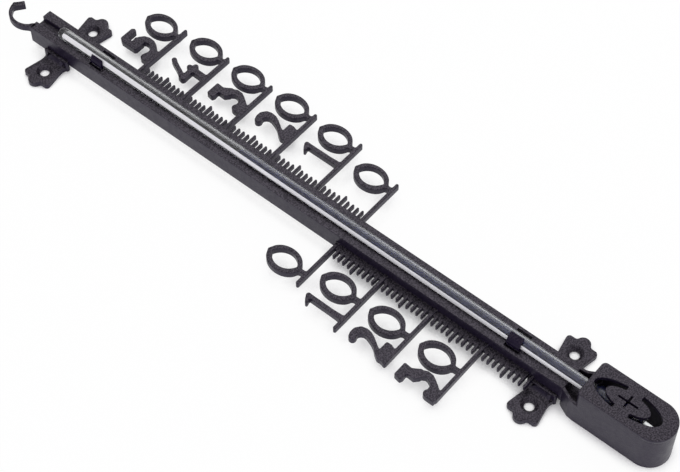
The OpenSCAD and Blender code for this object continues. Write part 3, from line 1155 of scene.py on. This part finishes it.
def shoulder(r, y, neckRadius, steps, skip=0):
    # on a circle from the neck's radius down to the level of y
    first = math.acos(neckRadius / r)
    angles = [first * (1 - i / steps) for i in range(skip, steps + 1)]
    return [(r * math.cos(t), y + r * math.sin(t)) for t in angles]


def straight(r, y0, y1):
    # a drawn length in short rings, which the glass needs to look smooth
    count = max(2, math.ceil((y1 - y0) / stem["ring"]))
    return [(r, y0 + (y1 - y0) * i / count) for i in range(count + 1)]


def makeStem():
    r, b, low, high = stem["radius"], stem["bore"], stem["low"], lay["stemHigh"]
    outer = [(b, low), (r - 0.05, low)] + straight(r, low + 0.1, high - r) + roundEnd(r, high - r, 1)
    hollow = straight(b, low, stem["boreHigh"] - b) + roundEnd(b, stem["boreHigh"] - b, 1, 5)
    bm = bmesh.new()
    addLathe(bm, outer, stem["turns"])
    addLathe(bm, hollow, stem["turns"])
    weld(bm)
    outward(bm, bm.faces)
    finished(bm, "glassStem", glass, stands=("glass_stem",))


def makeBacking():
    # milk glass fused along the stem's left side, up to its clear round end
    skin, core = stem["radius"] + stem["backingOut"], stem["radius"] - stem["backingIn"]
    last = stem["backingSteps"]
    rows = []
    for y, a0, a1 in stem["backing"]:
        a0, a1 = math.radians(a0), math.radians(a1)
        turn = [a0 + (a1 - a0) * i / last for i in range(last + 1)]
        ring = [(core, a) for a in reversed(turn)]
        ring += [(skin - (stem["backingEdge"] if i in (0, last) else 0), a) for i, a in enumerate(turn)]
        rows.append([(-r * math.sin(a), y, lay["stemZ"] + r * math.cos(a)) for r, a in ring])
    bm = bmesh.new()
    addLoft(bm, rows)
    finished(bm, "milkBacking", opal)


def belly(neckRadius, r):
    # the inside of the bulb, from its neck to its round end
    inside = shoulder(r, bulb["high"] - bulb["wall"], neckRadius, 8)
    return [(neckRadius, stem["low"])] + inside + [(r, bulb["low"])] + roundEnd(r, bulb["low"], -1)


def makeBulb():
    r, big, low = stem["radius"] + 0.02, bulb["radius"], bulb["low"]
    skin = [(stem["bore"], stem["low"]), (r, stem["low"])] + shoulder(big, bulb["high"], r, 6, 1)
    skin.append((big, low))
    for i in range(1, 9):
        t = 1.1 * i / 8
        skin.append((big * math.cos(t), low - big * math.sin(t)))
    nib, end = bulb["nib"], bulb["nib"] * bulb["nibTaper"]
    skin += [(nib + 0.1, low - big - 0.2), (nib, low - big - 1.2), (end, bulb["nibEnd"] + nib)]
    skin += roundEnd(end, bulb["nibEnd"] + end, -1, 6)
    h = big - bulb["wall"]
    bm = bmesh.new()
    addLathe(bm, skin)
    addLathe(bm, belly(stem["bore"], h))
    weld(bm)
    outward(bm, bm.faces)
    finished(bm, "glassBulb", glass, stands=("glass_bulb",))
    # the liquid that fills the bulb
    bm = bmesh.new()
    outward(bm, addLathe(bm, [(0, stem["low"])] + belly(stem["thread"], h + 0.01)))
    finished(bm, "bulbLiquid", liquid, stands=("bulb_liquid",))


def makeThread():
    # in short lengths along the bore
    axis, k, count, turns = lay["stemZ"], stem["thread"], stem["threadRings"], stem["threadTurns"]
    low, high = stem["low"] + 0.02, stem["tipTop"] - stem["tipLength"]
    bm = bmesh.new()
    rings = [(0, low)] + [(k, low + (high - low) * i / count) for i in range(count + 1)] + [(0, high)]
    outward(bm, addLathe(bm, rings, turns))
    thread = finished(bm, "liquidThread", liquid, body=None, stands=("liquid_thread",))
    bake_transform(thread)
    bm = bmesh.new()
    top = stem["tipTop"]
    outward(bm, addLathe(bm, [(0, high), (k, high), (k, top - k)] + roundEnd(k, top - k, 1, 5), turns))
    finished(bm, "liquidTip", liquid, body="tip", stands=("liquid_tip",))


makeStem()
makeBacking()
makeBulb()
makeThread()
print("glass made")


# table, light and camera

studio = {
    "floor": (0.93, 0.93, 0.94),
    "floorLight": 1.01,   # its lightest blotches, as a share
    "floorCloud": 6.0,
    "floorGloss": 0.6,
    "floorHalf": 2.5,     # metres, as all below
    "whiten": 0.96,       # share of plain white in what the camera sees of the open table
    "whitenNear": 0.05,   # and close beside the object, where the white fades with ambient occlusion: painted contact shade over the table's real shadow
    "shadowReach": 0.0065,
    "shadowEdge": (0.48, 0.78),
    "closedReach": 0.025,  # how far the gloss looks for walls round a spot of the table, for painted shade in its reflections
    "closedEdge": (0.2, 0.4),
    "closedShare": 0.1,   # what the gloss keeps of the white table between walls: painted shade in the reflections of hollows
    "samples": 8,
    "tent": 0.8,          # brightness of the light tent
    "tentTint": (1.0, 0.985, 1.01),
    "tentSide": (0.15, 0.6),    # from the housing's side of the tent to the hook's
    "tentShare": (1.27, 0.62),  # and its brightness at both
    "key": 1.3,           # watts
    "keyPlace": (0.45, 0.35, 0.8),
    "keySize": 0.6,
}


def openness(nodes, reach):
    # how free of walls a spot of the table is, by ambient occlusion; it sets where the painted shade falls
    node = nodes.new("ShaderNodeAmbientOcclusion")
    node.inputs["Distance"].default_value = reach
    node.samples = studio["samples"]
    return node.outputs["AO"]


def makeTable():
    bm = bmesh.new()
    bmesh.ops.create_grid(bm, x_segments=2, y_segments=2, size=studio["floorHalf"])
    mesh = asMesh(bm, "studioTable")
    material, nodes, links, shader = newMaterial("paleTable")
    coords = nodes.new("ShaderNodeTexCoord").outputs["Object"]
    cloud = noise(nodes, links, coords, studio["floorCloud"], 2.0)
    light = tuple(c * studio["floorLight"] for c in studio["floor"])
    links.new(ramp(nodes, links, cloud, (0.3, 0.7), (studio["floor"], light)), shader.inputs["Base Color"])
    shader.inputs["Roughness"].default_value = studio["floorGloss"]
    # seen directly, in gloss or through glass the table goes towards white, and keeps its shadow; the white
    # fades with ambient occlusion beside the object and between walls, which paints shade there
    path = nodes.new("ShaderNodeLightPath").outputs
    around = openness(nodes, studio["closedReach"])
    # painted shade: reflections of the table go dark where walls close round it
    free = ramp(nodes, links, around, studio["closedEdge"], (studio["closedShare"], 1.0))
    gloss = combined(nodes, links, "MULTIPLY", path["Is Glossy Ray"], free)
    seen = combined(nodes, links, "ADD", path["Is Camera Ray"], gloss.outputs[0])
    through = combined(nodes, links, "ADD", seen.outputs[0], path["Is Transmission Ray"])
    through.use_clamp = True
    # painted contact shade: the white share drops where the table is hemmed in close by the object
    near = openness(nodes, studio["shadowReach"])
    openShare = ramp(nodes, links, near, studio["shadowEdge"], (studio["whitenNear"], studio["whiten"]))
    share = combined(nodes, links, "MULTIPLY", through.outputs[0], openShare)
    white = nodes.new("ShaderNodeEmission")
    white.inputs["Strength"].default_value = 1.0
    blend = nodes.new("ShaderNodeMixShader")
    for source, socket in zip((share, shader, white), blend.inputs):
        links.new(source.outputs[0], socket)
    links.new(blend.outputs[0], nodes["Material Output"].inputs[0])
    mesh.materials.append(material)
    table = placed("studioTable", mesh)


def makeLight():
    world = bpy.data.worlds.new("studioWorld")
    world.use_nodes = True
    nodes, links = world.node_tree.nodes, world.node_tree.links
    back = nodes["Background"]
    back.inputs["Color"].default_value = (*(studio["tent"] * c for c in studio["tentTint"]), 1)
    coords = nodes.new("ShaderNodeTexCoord").outputs["Object"]
    split = nodes.new("ShaderNodeSeparateXYZ")
    links.new(coords, split.inputs[0])
    fade = nodes.new("ShaderNodeMapRange")
    links.new(split.outputs["Y"], fade.inputs["Value"])
    span = studio["tentSide"] + studio["tentShare"]
    for label, value in zip(("From Min", "From Max", "To Min", "To Max"), span):
        fade.inputs[label].default_value = value
    links.new(fade.outputs["Result"], back.inputs["Strength"])
    workScene.world = world
    lamp = bpy.data.lights.new("keyLight", "AREA")
    lamp.shape = "DISK"
    lamp.size = studio["keySize"]
    lamp.energy = studio["key"]
    key = placed("keyLight", lamp)
    key.location = studio["keyPlace"]
    key.rotation_euler = (Vector((0, 0, 0)) - key.location).to_track_quat("-Z", "Y").to_euler()


# fitted to the photograph: the axes are the camera's own, in the frame
view = {
    "lens": 96.14,
    "sensor": 36,
    "shift": (-0.00115, -0.01937),
    "clip": 0.01,         # metres
    "place": (-0.26590, -0.24101, 0.48353),
    "right": (0.64042, -0.76803, 0.00089),
    "up": (0.62045, 0.51805, 0.58878),
    "back": (-0.45266, -0.37651, 0.80829),
}


def makeCamera():
    data = bpy.data.cameras.new("photoCamera")
    data.sensor_width = view["sensor"]
    data.lens = view["lens"]
    data.shift_x, data.shift_y = view["shift"]
    data.clip_start = view["clip"]
    camera = placed("photoCamera", data)
    turn = Matrix((view["right"], view["up"], view["back"])).transposed().to_4x4()
    camera.matrix_world = Matrix.Translation(view["place"]) @ turn
    workScene.camera = camera


makeTable()
makeLight()
makeCamera()
workScene.view_settings.view_transform = "Standard"
print("studio made")
